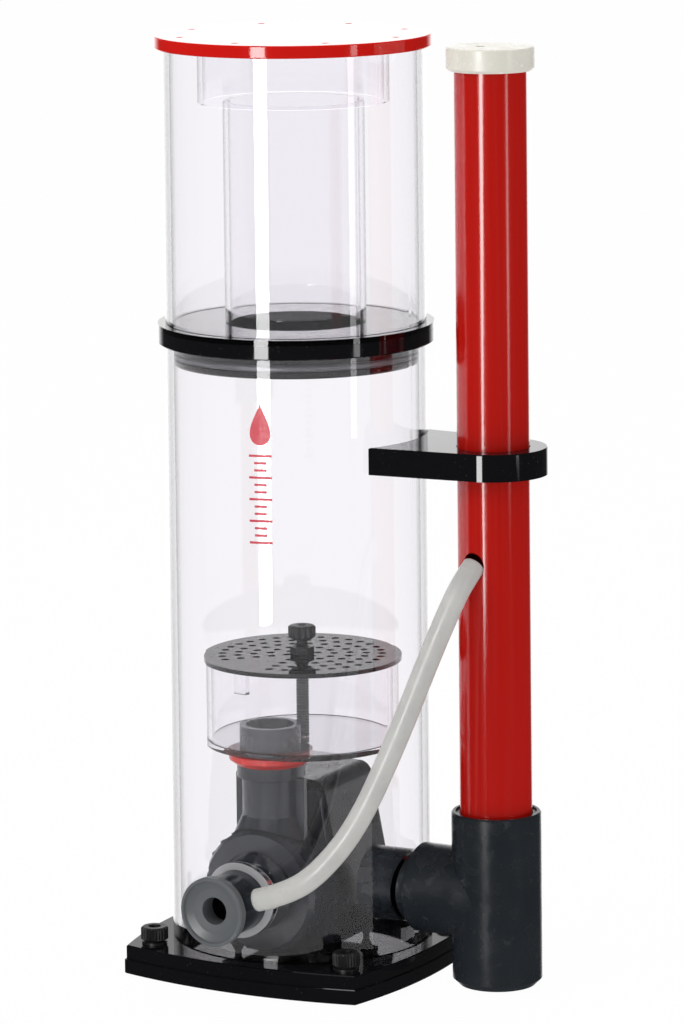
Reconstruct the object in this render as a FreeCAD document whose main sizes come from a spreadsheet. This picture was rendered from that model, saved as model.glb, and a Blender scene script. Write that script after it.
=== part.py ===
import FreeCAD, Part
import math
import os
import re
import Sketcher

# In-sump protein skimmer with an internal needle-wheel pump.
# Origin: underside of the base plate, on the axis of the body tube. +Z is up,
# +X points to the outlet tee and standpipe, -Y to the pump's intake. Millimetres.

SIZES = {
    # Base: two bolted acrylic plates with bulged sides
    "plate_corner": 73.3,
    "plate_bulge": 82.5,
    "plate_thick": 8,
    "flange_inset": 0.8,
    "edge_break": 0.6,
    "screw_reach": 61,
    "screw_hole": 3.2,
    "screw_shank": 3,
    "thumb_radius": 7.7,
    "thumb_height": 9.5,
    "base_seal_mid": 75.5,
    "base_seal_width": 3,
    "base_seal_depth": 2.4,
    # Reaction tube
    "tube_radius": 73,
    "tube_wall": 4.5,
    "tube_top": 352,
    "nozzle_hole": 21,
    "outlet_hole": 20.3,
    # Collection cup
    "cup_rim": 77.3,
    "cup_flange_thick": 8,
    "cup_floor_thick": 3,
    "cup_wall_thick": 4,
    "cup_top": 517,
    "plug_radius": 68.1,
    "plug_bottom": 340.5,
    "ring_mid": 66.4,
    "ring_section": 2,
    "ring_height": 346,
    "neck_radius": 39.5,
    "neck_wall": 3,
    "neck_top": 487,
    # Lid
    "lid_radius": 77.6,
    "lid_thick": 7,
    "lid_vent": 2,
    "lid_vent_reach": 65,
    "splash_radius": 53.5,
    "splash_wall": 3,
    "splash_bottom": 486.5,
    # Outlet tee, standpipe and bracket
    "pipe_centre": 123,
    "pipe_radius": 20,
    "pipe_wall": 2.4,
    "pipe_top": 517.5,
    "pipe_bottom": 34,
    "slip": 0.35,
    "outlet_height": 50,
    "stub_start": 45,
    "stub_end": 101,
    "stub_wall": 3,
    "tee_radius": 24.8,
    "tee_bottom": 1.5,
    "tee_top": 98,
    "tee_branch_end": 76,
    "tee_chamfer": 3.5,
    "socket_radius": 20.1,
    "socket_depth": 24,
    "bushing_radius": 22.4,
    "bushing_bottom": 73,
    "wedge_tilt": 38.66,
    "wedge_high": 64.5,
    "cap_radius": 24.2,
    "cap_bottom": 508,
    "cap_top": 521,
    "cap_vent": 2.6,
    "bracket_bottom": 286,
    "bracket_thick": 15,
    "bracket_end": 30,
    "bracket_half_root": 35,
    # Air hose and its barb
    "hose_radius": 6.25,
    "hose_port": 6.7,
    "barb_radius": 4.8,
    "barb_bore": 2.2,
    "barb_tilt": 17,
    "barb_reach": 23.9,
    "barb_station": 91.5,
    # Bubble diffuser
    "diffuser_shift": 1.5,
    "diffuser_radius": 54,
    "diffuser_wall_thick": 2.8,
    "diffuser_floor_bottom": 125.5,
    "diffuser_floor_top": 128.5,
    "diffuser_top": 172.4,
    "bubble_plate_radius": 56,
    "bubble_plate_thick": 2.4,
    "bubble_hole": 2.25,
    "bubble_pitch": 9,
    "bubble_sweep": 312,
    "rod_radius": 3.7,
    "knob_radius": 7.8,
    "knob_bottom": 183.4,
    "knob_top": 191,
    "nut_across": 11.6,
    "nut_thick": 4,
    # Pump
    "pump_axis": 50,
    "tower_station": 33.8,
    "tower_radius": 16.1,
    "tower_bore": 13.2,
    "tower_low": 91.2,
    "rim_radius": 18.8,
    "rim_low": 112.6,
    "rim_top": 119.5,
    "riser_radius": 16.5,
    "riser_low": 114,
    "riser_top": 141.7,
    "collar_radius": 22.9,
    "volute_radius": 31,
    "volute_cavity": 26.5,
    "volute_front": 44.5,
    "volute_back": 19,
    "throat_radius": 8,
    "throat_station": 28.5,
    "seal_width": 2,
    "seal_depth": 1.2,
    "rotor_bore": 12.5,
    "front_plate_thick": 5,
    "motor_back": 46,
    "motor_low": 17.3,
    "flange_top": 103,
    "nozzle_radius": 17,
    "nozzle_bore": 13.5,
    "nozzle_tip": 97,
    "intake_tip": 103,
    "intake_radius": 19.2,
    "intake_hole": 7.6,
    "wheel_radius": 22,
    "magnet_radius": 11,
    "shaft_radius": 2,
    "foot_along": 32,
    "foot_aside": 23.5,
    "foot_top": 14.5,
}

UP = FreeCAD.Vector(0, 0, 1)
TURNS = {
    "up": FreeCAD.Rotation(),
    "front": FreeCAD.Rotation(FreeCAD.Vector(1, 0, 0), 90),
    "outlet": FreeCAD.Rotation(FreeCAD.Vector(0, 1, 0), 90),
}
DOC = FreeCAD.newDocument("ProteinSkimmer")
SUB_PARTS = []


# ---- Sheet and expressions -------------------------------------------------

def write_sheet():
    sheet = DOC.addObject("Spreadsheet::Sheet", "Sizes")
    for row, (alias, number) in enumerate(SIZES.items(), start=1):
        sheet.set("A%d" % row, alias)
        sheet.set("B%d" % row, str(number))
        sheet.setAlias("B%d" % row, alias)
    DOC.recompute()
    return sheet


SHEET = write_sheet()


def formula(text):
    """The text with each name of the sheet written as a sheet reference."""
    def reference(match):
        word = match.group(0)
        return "Sizes." + word if word in SIZES else word
    return re.sub(r"[a-z_]+", reference, str(text))


def value(text):
    return float(SHEET.evalExpression(formula(text)))


def bind(item, prop, text):
    item.setExpression(prop, formula(text))


# ---- Placing and keeping pieces --------------------------------------------

def place(item, x="0", y="0", z="0", turn="up"):
    spot = FreeCAD.Vector(value(x), value(y), value(z))
    item.Placement = FreeCAD.Placement(spot, TURNS[turn])
    for letter, text in (("x", x), ("y", y), ("z", z)):
        if text != "0":
            bind(item, ".Placement.Base." + letter, text)
    return item


def keep(item, name):
    """Make an object a sub-part: its Label names its node and file."""
    item.Label = name
    SUB_PARTS.append(item)
    return item


# ---- Sketches --------------------------------------------------------------

def new_body(name):
    return DOC.addObject("PartDesign::Body", name)


def sketch_on(body, role, lift="0"):
    sketch = body.newObject("Sketcher::SketchObject", body.Name + "_sketch")
    planes = [item for item in body.Origin.OriginFeatures if item.Role == role]
    sketch.AttachmentSupport = [(planes[0], "")]
    sketch.MapMode = "FlatFace"
    if lift != "0":
        bind(sketch, ".AttachmentOffset.Base.z", lift)
    return sketch


def constrain(sketch, constraint, text):
    index = sketch.addConstraint(constraint)
    bind(sketch, "Constraints[%d]" % index, text)


def pin_point(sketch, item, end, x, y):
    """Hold one point of a curve at x, y of the sketch."""
    for axis, kind, text in ((-2, "DistanceX", x), (-1, "DistanceY", y)):
        if value(text) == 0:
            sketch.addConstraint(Sketcher.Constraint("PointOnObject", item, end, axis))
        else:
            rule = Sketcher.Constraint(kind, -1, 1, item, end, value(text))
            constrain(sketch, rule, text)


def add_circle(sketch, radius, x="0", y="0"):
    centre = FreeCAD.Vector(value(x), value(y), 0)
    item = sketch.addGeometry(Part.Circle(centre, UP, value(radius)), False)
    pin_point(sketch, item, 3, x, y)
    constrain(sketch, Sketcher.Constraint("Radius", item, value(radius)), radius)


def add_outline(sketch, corners):
    """A closed outline of straight lines through corners given as text."""
    spots = [FreeCAD.Vector(value(x), value(y), 0) for x, y in corners]
    count = len(spots)
    for index in range(count):
        line = Part.LineSegment(spots[index], spots[(index + 1) % count])
        sketch.addGeometry(line, False)
    for index in range(count):
        after = (index + 1) % count
        sketch.addConstraint(Sketcher.Constraint("Coincident", index, 2, after, 1))
        pin_point(sketch, index, 1, corners[index][0], corners[index][1])


def add_hexagon(sketch, across):
    """A regular hexagon about the origin, its flats along the sketch's x."""
    half = "(%s) / 2" % across
    point = "(%s) / sqrt(3)" % across
    corners = [
        (half, "%s / 2" % point),
        ("0", point),
        ("-" + half, "%s / 2" % point),
        ("-" + half, "-%s / 2" % point),
        ("0", "-" + point),
        (half, "-%s / 2" % point),
    ]
    add_outline(sketch, corners)


# ---- PartDesign features ---------------------------------------------------

def pad(body, sketch, length, backwards=False):
    feature = body.newObject("PartDesign::Pad", body.Name + "_pad")
    feature.Profile = sketch
    feature.Reversed = backwards
    bind(feature, "Length", length)
    DOC.recompute()
    return feature


def pocket(body, sketch, depth, backwards=False):
    before = body.Shape.Volume
    feature = body.newObject("PartDesign::Pocket", body.Name + "_pocket")
    feature.Profile = sketch
    feature.Reversed = backwards
    bind(feature, "Length", depth)
    DOC.recompute()
    if body.Shape.Volume > before - 0.01:
        raise RuntimeError(feature.Name + " cuts nothing")
    return feature


def around(body, features, count, sweep="360", role="Z_Axis"):
    """Repeat features about an axis of the body's own origin."""
    feature = body.newObject("PartDesign::PolarPattern", body.Name + "_pattern")
    axes = [item for item in body.Origin.OriginFeatures if item.Role == role]
    feature.Originals = features
    feature.Axis = (axes[0], [""])
    bind(feature, "Angle", sweep)
    feature.Occurrences = count
    body.Tip = feature
    DOC.recompute()
    return feature


def dress(body, kind, base, size, test):
    """Chamfer or fillet the edges of base that pass the test."""
    names = []
    for number, edge in enumerate(base.Shape.Edges, start=1):
        if test(edge):
            names.append("Edge%d" % number)
    feature = body.newObject("PartDesign::" + kind, body.Name + "_" + kind.lower())
    feature.Base = (base, names)
    bind(feature, "Size" if kind == "Chamfer" else "Radius", size)
    DOC.recompute()
    return feature


def level_edge(height):
    """True for edges that lie in the level plane at this height."""
    def test(edge):
        box = edge.BoundBox
        return abs(box.ZMin - height) < 0.01 and abs(box.ZMax - height) < 0.01
    return test


def turned(name, corners, x="0", y="0", z="0", turn="up"):
    """A solid of revolution: corners are (radius, height) along its own axis."""
    body = new_body(name)
    sketch = sketch_on(body, "XZ_Plane")
    add_outline(sketch, corners)
    feature = body.newObject("PartDesign::Revolution", name + "_turn")
    feature.Profile = sketch
    feature.ReferenceAxis = (sketch, ["V_Axis"])
    feature.Angle = 360
    place(body, x, y, z, turn)
    DOC.recompute()
    return body


def pipe_corners(outer, inner, low, high):
    return [(inner, low), (outer, low), (outer, high), (inner, high)]


def pipe(name, outer, inner, low, high, **spot):
    return keep(turned(name, pipe_corners(outer, inner, low, high), **spot), name)


# ---- Part primitives and booleans ------------------------------------------

def rod(name, radius, length, x="0", y="0", z="0", turn="up"):
    item = DOC.addObject("Part::Cylinder", name)
    bind(item, "Radius", radius)
    bind(item, "Height", length)
    return place(item, x, y, z, turn)


def block(name, size, corner):
    item = DOC.addObject("Part::Box", name)
    for side, text in zip(("Length", "Width", "Height"), size):
        bind(item, side, text)
    return place(item, *corner)


def joined(name, pieces):
    item = DOC.addObject("Part::MultiFuse", name)
    item.Shapes = pieces
    item.Refine = True
    return item


def less(name, base, tools):
    """The base with the tools cut away."""
    item = DOC.addObject("Part::Cut", name)
    item.Base = base
    item.Tool = tools[0] if len(tools) == 1 else joined(name + "_tools", tools)
    item.Refine = True
    return item


def mirror(name, source, normal):
    item = DOC.addObject("Part::Mirroring", name)
    item.Source = source
    item.Normal = normal
    return item


def four_corners(name, one):
    """The same piece in all four quadrants."""
    left = mirror(name + "_left", one, FreeCAD.Vector(1, 0, 0))
    pieces = [one, left]
    for item in (one, left):
        pieces.append(mirror(item.Name + "_far", item, FreeCAD.Vector(0, 1, 0)))
    group = DOC.addObject("Part::Compound", name)
    group.Links = pieces
    return keep(group, name)


# ---- Base ------------------------------------------------------------------

def bulged_square(sketch, inset):
    """Four equal arcs that meet in sharp corners."""
    corner = "(plate_corner - %s)" % inset
    rise = "(plate_bulge - plate_corner)"
    radius = "(%s * %s + %s * %s) / (2 * %s)" % (rise, rise, corner, corner, rise)
    reach = value(corner) + value(rise) - value(radius)
    half_turn = math.asin(value(corner) / value(radius))
    signs = [(1, 1), (-1, 1), (-1, -1), (1, -1)]
    for side, (sign_x, sign_y) in enumerate(signs):
        facing = side * math.pi / 2
        centre = FreeCAD.Vector(reach * math.cos(facing), reach * math.sin(facing), 0)
        circle = Part.Circle(centre, UP, value(radius))
        arc = Part.ArcOfCircle(circle, facing - half_turn, facing + half_turn)
        sketch.addGeometry(arc, False)
        text = [corner if sign > 0 else "-" + corner for sign in (sign_x, sign_y)]
        pin_point(sketch, side, 2, text[0], text[1])
    for side in range(4):
        after = (side + 1) % 4
        sketch.addConstraint(Sketcher.Constraint("Coincident", side, 2, after, 1))
    for side in range(1, 4):
        sketch.addConstraint(Sketcher.Constraint("Equal", 0, side))
    constrain(sketch, Sketcher.Constraint("Radius", 0, value(radius)), radius)


def base_plates():
    lower = new_body("base_plate")
    outline = sketch_on(lower, "XY_Plane")
    bulged_square(outline, "0")
    slab = pad(lower, outline, "plate_thick")
    dress(lower, "Chamfer", slab, "edge_break", level_edge(0))
    groove = sketch_on(lower, "XY_Plane", "plate_thick")
    seal_in = "base_seal_mid - base_seal_width / 2"
    seal_out = "base_seal_mid + base_seal_width / 2"
    add_circle(groove, seal_in)
    add_circle(groove, seal_out)
    pocket(lower, groove, "base_seal_depth")
    tapping = sketch_on(lower, "XY_Plane", "plate_thick")
    add_circle(tapping, "screw_hole", "screw_reach", "screw_reach")
    around(lower, [pocket(lower, tapping, "plate_thick - 1.2")], 4)
    keep(lower, "base_plate")

    upper = new_body("body_flange")
    outline = sketch_on(upper, "XY_Plane", "plate_thick")
    bulged_square(outline, "flange_inset")
    slab = pad(upper, outline, "plate_thick")
    dress(upper, "Chamfer", slab, "edge_break", level_edge(value("2 * plate_thick")))
    opening = sketch_on(upper, "XY_Plane", "2 * plate_thick")
    add_circle(opening, "tube_radius - tube_wall")
    pocket(upper, opening, "plate_thick")
    clearance = sketch_on(upper, "XY_Plane", "2 * plate_thick")
    add_circle(clearance, "screw_hole", "screw_reach", "screw_reach")
    around(upper, [pocket(upper, clearance, "plate_thick")], 4)
    keep(upper, "body_flange")

    pipe("base_seal", seal_out, seal_in, "plate_thick - base_seal_depth", "plate_thick")


def base_thumbscrews():
    """Knurled nylon thumbscrews with a hexagon socket, one in each corner."""
    top = "2 * plate_thick + thumb_height"
    seat = "2 * plate_thick"
    corners = [
        ("0", "1.6"),
        ("screw_shank", "1.6"),
        ("screw_shank", seat),
        ("thumb_radius - 1.4", seat),
        ("thumb_radius - 1.4", seat + " + 1.4"),
        ("thumb_radius", seat + " + 1.8"),
        ("thumb_radius", top + " - 0.9"),
        ("thumb_radius - 0.9", top),
        ("0", top),
    ]
    screw = turned("thumbscrew", corners, x="screw_reach", y="screw_reach")
    socket = sketch_on(screw, "XY_Plane", top)
    add_hexagon(socket, "6.2")
    pocket(screw, socket, "6")
    four_corners("base_thumbscrews", screw)


# ---- Reaction tube ---------------------------------------------------------

def body_tube():
    low = "2 * plate_thick"
    outer = rod("tube_outer", "tube_radius", "tube_top - " + low, z=low)
    inner = rod("tube_inner", "tube_radius - tube_wall", "tube_top", z="0")
    reach = "tube_radius - 25"
    front = rod("nozzle_way", "nozzle_hole", "40", y="-(%s)" % reach, z="pump_axis", turn="front")
    side = rod("outlet_way", "outlet_hole", "40", x=reach, z="outlet_height", turn="outlet")
    keep(less("body_tube_shell", outer, [inner, front, side]), "body_tube")


def nozzle_grommet():
    """Soft ring that fills the gap between the intake nozzle and the tube's hole."""
    reach = "-(tube_radius - 25)"
    spot = {"y": reach, "z": "pump_axis", "turn": "front"}
    outer = rod("grommet_outer", "nozzle_hole - 0.1", "40", **spot)
    bore = rod("grommet_bore", "nozzle_radius + 0.1", "40", **spot)
    sleeve = less("grommet_sleeve", outer, [bore])
    spread = rod("grommet_face", "tube_radius + 0.8", "60", z="pump_axis - 30")
    hollow = rod("grommet_back", "tube_radius - tube_wall - 0.8", "60", z="pump_axis - 30")
    band = less("grommet_band", spread, [hollow])
    item = DOC.addObject("Part::Common", "nozzle_grommet")
    item.Base = sleeve
    item.Tool = band
    keep(item, "nozzle_grommet")


# ---- Collection cup and lid ------------------------------------------------

def collection_cup():
    bore = "neck_radius - neck_wall"
    low = "tube_top"
    high = "tube_top + cup_flange_thick"
    floor = high + " + cup_floor_thick"
    flange = [
        (bore, low),
        ("cup_rim - edge_break", low),
        ("cup_rim", low + " + edge_break"),
        ("cup_rim", high),
        (bore, high),
    ]
    keep(turned("cup_flange", flange), "cup_flange")
    groove_in = "ring_mid - ring_section - 0.05"
    plug = [
        (bore, "plug_bottom"),
        ("plug_radius - 1", "plug_bottom"),
        ("plug_radius", "plug_bottom + 1"),
        ("plug_radius", "ring_height - ring_section - 0.1"),
        (groove_in, "ring_height - ring_section - 0.1"),
        (groove_in, "ring_height + ring_section + 0.1"),
        ("plug_radius", "ring_height + ring_section + 0.1"),
        ("plug_radius", low),
        (bore, low),
    ]
    keep(turned("cup_plug", plug), "cup_plug")
    section = []
    for step in range(8):
        turn = 22.5 + 45 * step
        section.append(("ring_mid + ring_section * cos(%s)" % turn,
                        "ring_height + ring_section * sin(%s)" % turn))
    keep(turned("cup_o_ring", section), "cup_o_ring")
    pipe("cup_floor", "cup_rim", bore, high, floor)
    pipe("cup_wall", "tube_radius", "tube_radius - cup_wall_thick", floor, "cup_top")
    pipe("neck_tube", "neck_radius", bore, floor, "neck_top")


def lid():
    high = "cup_top + lid_thick"
    corners = [
        ("0", "cup_top"),
        ("lid_radius - edge_break", "cup_top"),
        ("lid_radius", "cup_top + edge_break"),
        ("lid_radius", high + " - edge_break"),
        ("lid_radius - edge_break", high),
        ("0", high),
    ]
    disc = turned("lid_disc", corners)
    vent = sketch_on(disc, "XY_Plane", high)
    add_circle(vent, "lid_vent", "lid_vent_reach")
    around(disc, [pocket(disc, vent, "lid_thick")], 8)
    keep(disc, "lid_disc")
    pipe("splash_ring", "splash_radius", "splash_radius - splash_wall", "splash_bottom", "cup_top")


# ---- Outlet tee, standpipe and bracket -------------------------------------

def pipe_bracket():
    """Plate with a concave seat on the tube and a round end about the standpipe."""
    body = new_body("pipe_bracket")
    sketch = sketch_on(body, "XY_Plane", "bracket_bottom")
    seat, end = value("tube_radius"), value("bracket_end")
    half, reach = value("bracket_half_root"), value("pipe_centre")
    seat_turn = math.asin(half / seat)
    root = FreeCAD.Vector(seat * math.cos(seat_turn), half, 0)
    span = math.hypot(reach - root.x, root.y)
    tangent = math.atan2(root.y, root.x - reach) - math.acos(end / span)
    touch = FreeCAD.Vector(reach + end * math.cos(tangent), end * math.sin(tangent), 0)
    low_root = FreeCAD.Vector(root.x, -root.y, 0)
    low_touch = FreeCAD.Vector(touch.x, -touch.y, 0)
    seat_circle = Part.Circle(FreeCAD.Vector(), UP, seat)
    end_circle = Part.Circle(FreeCAD.Vector(reach, 0, 0), UP, end)
    sketch.addGeometry(Part.ArcOfCircle(seat_circle, -seat_turn, seat_turn), False)
    sketch.addGeometry(Part.LineSegment(root, touch), False)
    sketch.addGeometry(Part.ArcOfCircle(end_circle, -tangent, tangent), False)
    sketch.addGeometry(Part.LineSegment(low_touch, low_root), False)
    pin_point(sketch, 0, 3, "0", "0")
    pin_point(sketch, 2, 3, "pipe_centre", "0")
    sketch.addConstraint(Sketcher.Constraint("Coincident", 0, 2, 1, 1))
    sketch.addConstraint(Sketcher.Constraint("Tangent", 1, 2, 2, 2))
    sketch.addConstraint(Sketcher.Constraint("Tangent", 2, 1, 3, 1))
    sketch.addConstraint(Sketcher.Constraint("Coincident", 3, 2, 0, 1))
    constrain(sketch, Sketcher.Constraint("Radius", 0, seat), "tube_radius")
    constrain(sketch, Sketcher.Constraint("Radius", 2, end), "bracket_end")
    rule = Sketcher.Constraint("DistanceY", -1, 1, 0, 2, half)
    constrain(sketch, rule, "bracket_half_root")
    rule = Sketcher.Constraint("DistanceY", -1, 1, 0, 1, -half)
    constrain(sketch, rule, "-bracket_half_root")
    slab = pad(body, sketch, "bracket_thick")
    top = value("bracket_bottom + bracket_thick")
    dress(body, "Chamfer", slab, "edge_break", level_edge(top))
    bore = sketch_on(body, "XY_Plane", "bracket_bottom + bracket_thick")
    add_circle(bore, "pipe_radius + slip", "pipe_centre")
    pocket(body, bore, "bracket_thick")
    keep(body, "pipe_bracket")


def outlet_tee():
    """PVC tee: one branch on the body's stub, a socket below and the standpipe above."""
    low, high = "tee_bottom", "tee_top"
    run = turned("tee_run", [
        ("0", low),
        ("tee_radius - tee_chamfer", low),
        ("tee_radius", low + " + tee_chamfer"),
        ("tee_radius", high + " - 0.8"),
        ("tee_radius - 0.8", high),
        ("0", high),
    ], x="pipe_centre")
    branch = turned("tee_branch", [
        ("0", "tee_branch_end"),
        ("tee_radius - 1", "tee_branch_end"),
        ("tee_radius - 0.2", "tee_branch_end + 0.8"),
        ("tee_radius - 0.2", "pipe_centre"),
        ("0", "pipe_centre"),
    ], z="outlet_height", turn="outlet")
    on_axis = {"x": "pipe_centre"}
    socket_top = "(tee_bottom + socket_depth)"
    tools = [
        rod("tee_socket", "socket_radius", "socket_depth", z=low, **on_axis),
        rod("tee_shoulder", "pipe_radius - 2", "10", z=socket_top + " - 1", **on_axis),
        rod("tee_way", "pipe_radius + slip", "80", z=socket_top + " + 2.5", **on_axis),
        rod("tee_seat", "bushing_radius + 0.1", "40", z="bushing_bottom - 0.2", **on_axis),
        rod("tee_side", "socket_radius", "stub_end + 0.2 - tee_branch_end",
            x="tee_branch_end", z="outlet_height", turn="outlet"),
        rod("tee_mouth", "pipe_radius - 2", "pipe_centre - stub_end",
            x="stub_end", z="outlet_height", turn="outlet"),
    ]
    solid = joined("tee_solid", [run, branch])
    keep(less("tee_shell", solid, tools), "outlet_tee")
    pipe("tee_bushing", "bushing_radius", "pipe_radius + slip", "bushing_bottom",
         "tee_top - 1", **on_axis)
    pipe("outlet_stub", "pipe_radius", "pipe_radius - stub_wall", "stub_start", "stub_end",
         z="outlet_height", turn="outlet")


def standpipe():
    """Level pipe: its slanted foot covers more or less of the tee's branch as it turns."""
    long = "pipe_top - pipe_bottom"
    spot = {"x": "pipe_centre", "z": "pipe_bottom"}
    outer = rod("standpipe_outer", "pipe_radius", long, **spot)
    inner = rod("standpipe_inner", "pipe_radius - pipe_wall", long, **spot)
    wedge = block("standpipe_wedge", ("70", "60", "40"), (
        "pipe_centre - pipe_radius - 8 * cos(wedge_tilt) - 40 * sin(wedge_tilt)",
        "-30",
        "wedge_high + 8 * sin(wedge_tilt) - 40 * cos(wedge_tilt)",
    ))
    wedge.Placement.Rotation = FreeCAD.Rotation(FreeCAD.Vector(0, 1, 0), value("wedge_tilt"))
    port = DOC.addObject("Part::Cylinder", "standpipe_port")
    bind(port, "Radius", "hose_port")
    port.Height = 30
    before, tip = HOSE_ROUTE[-2], HOSE_ROUTE[-1]
    along = FreeCAD.Vector(*tip) - FreeCAD.Vector(*before)
    start = FreeCAD.Vector(*tip) - along.normalize() * 12
    port.Placement = FreeCAD.Placement(start, FreeCAD.Rotation(UP, along))
    keep(less("standpipe_shell", outer, [inner, wedge, port]), "standpipe")


def standpipe_cap():
    cap = turned("standpipe_cap", [
        ("pipe_radius + slip", "cap_bottom"),
        ("cap_radius - 1.6", "cap_bottom"),
        ("cap_radius", "cap_bottom + 1.6"),
        ("cap_radius", "cap_top - 0.6"),
        ("cap_radius - 0.6", "cap_top"),
        ("0", "cap_top"),
        ("0", "pipe_top + slip"),
        ("pipe_radius + slip", "pipe_top + slip"),
    ], x="pipe_centre")
    vent = sketch_on(cap, "XY_Plane", "cap_top")
    add_circle(vent, "cap_vent", "-4.5", "-2.4")
    pocket(cap, vent, "cap_top - pipe_top")
    keep(cap, "standpipe_cap")


# ---- Air hose --------------------------------------------------------------

# Corners of the hose's route, from the barb's shoulder to the port in the standpipe.
HOSE_ROUTE = [
    (22.86, -91.5, 56.99),
    (41.3, -91.5, 62.63),
    (59.5, -88, 75),
    (77.3, -76.3, 100.4),
    (93.9, -60.9, 146.7),
    (107.9, -45.8, 194.2),
    (115.4, -35.6, 219.3),
    (118.5, -28.2, 230.4),
    (120, -18.8, 237.1),
]


def hose_path():
    """Straight runs joined by tangent arcs, each as large as its two runs allow."""
    spots = [FreeCAD.Vector(*spot) for spot in HOSE_ROUTE]
    edges = []
    start = spots[0]
    for before, corner, after in zip(spots, spots[1:], spots[2:]):
        back, ahead = before - corner, after - corner
        reach = 0.45 * min(back.Length, ahead.Length)
        half_turn = (math.pi - back.getAngle(ahead)) / 2
        radius = reach / math.tan(half_turn)
        print("hose bend radius %.1f mm, turn %.1f deg" % (radius, math.degrees(2 * half_turn)))
        enter = corner + back.normalize() * reach
        leave = corner + ahead.normalize() * reach
        inward = (back + ahead).normalize()
        middle = corner + inward * (radius / math.cos(half_turn) - radius)
        edges.append(Part.LineSegment(start, enter).toShape())
        edges.append(Part.Arc(enter, middle, leave).toShape())
        start = leave
    edges.append(Part.LineSegment(start, spots[-1]).toShape())
    return Part.Wire(edges)


def air_hose():
    route = DOC.addObject("Part::Feature", "hose_route")
    route.Shape = hose_path()
    section = DOC.addObject("Part::Circle", "hose_section")
    bind(section, "Radius", "hose_radius")
    along = FreeCAD.Vector(*HOSE_ROUTE[1]) - FreeCAD.Vector(*HOSE_ROUTE[0])
    start = FreeCAD.Vector(*HOSE_ROUTE[0])
    section.Placement = FreeCAD.Placement(start, FreeCAD.Rotation(UP, along))
    hose = DOC.addObject("Part::Sweep", "air_hose")
    hose.Sections = [section]
    hose.Spine = (route, ["Edge%d" % (index + 1) for index in range(len(route.Shape.Edges))])
    hose.Solid = True
    DOC.recompute()
    expected = math.pi * value("hose_radius") ** 2 * route.Shape.Length
    print("hose length %.1f mm, volume over expected %.4f"
          % (route.Shape.Length, hose.Shape.Volume / expected))
    keep(hose, "air_hose")


def air_barb():
    barb = turned("air_barb", [
        ("barb_bore", "nozzle_bore + 0.5"),
        ("barb_radius", "nozzle_bore + 0.5"),
        ("barb_radius", "barb_reach - 3"),
        ("barb_radius + 0.3", "barb_reach - 3"),
        ("barb_radius + 0.3", "barb_reach"),
        ("barb_bore", "barb_reach"),
    ], y="-barb_station", z="pump_axis")
    barb.Placement.Rotation = FreeCAD.Rotation(
        FreeCAD.Vector(0, 1, 0), 90 - value("barb_tilt"))
    keep(barb, "air_barb")


# ---- Bubble diffuser -------------------------------------------------------

def bubble_plate():
    """Perforated disc: five rings of holes with one sector left blank."""
    corners = pipe_corners("bubble_plate_radius", "rod_radius + 0.2", "diffuser_top",
                           "diffuser_top + bubble_plate_thick")
    plate = turned("bubble_plate", corners, x="diffuser_shift")
    first_turn = -84.5
    full_rings = (6, 13, 19, 25, 32)
    for number, full in enumerate(full_rings, start=1):
        count = round(full * value("bubble_sweep") / 360) + 1
        sketch = sketch_on(plate, "XY_Plane", "diffuser_top + bubble_plate_thick")
        reach = "%d * bubble_pitch" % number
        add_circle(sketch, "bubble_hole", "%s * cos(%s)" % (reach, first_turn),
                   "%s * sin(%s)" % (reach, first_turn))
        hole = pocket(plate, sketch, "bubble_plate_thick")
        around(plate, [hole], count, "bubble_sweep")
    keep(plate, "bubble_plate")


def plate_tab():
    """Clear tab that centres the plate inside the diffuser's wall."""
    tab = DOC.addObject("Part::Box", "plate_tab_box")
    reach = "(diffuser_radius - diffuser_wall_thick - 3.4)"
    bind(tab, "Length", "3")
    bind(tab, "Width", "8")
    bind(tab, "Height", "12")
    spot = FreeCAD.Vector(value(reach), -4, value("diffuser_top") - 12)
    turn = FreeCAD.Rotation(UP, -102)
    shift = FreeCAD.Vector(value("diffuser_shift"), 0, 0)
    tab.Placement = FreeCAD.Placement(shift + turn.multVec(spot), turn)
    keep(tab, "plate_tab")


def hex_nut(name, low):
    nut = new_body(name)
    outline = sketch_on(nut, "XY_Plane", low)
    add_hexagon(outline, "nut_across")
    pad(nut, outline, "nut_thick")
    bore = sketch_on(nut, "XY_Plane", low)
    add_circle(bore, "rod_radius + 0.05")
    pocket(nut, bore, "nut_thick", backwards=True)
    return place(nut, x="diffuser_shift")


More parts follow.
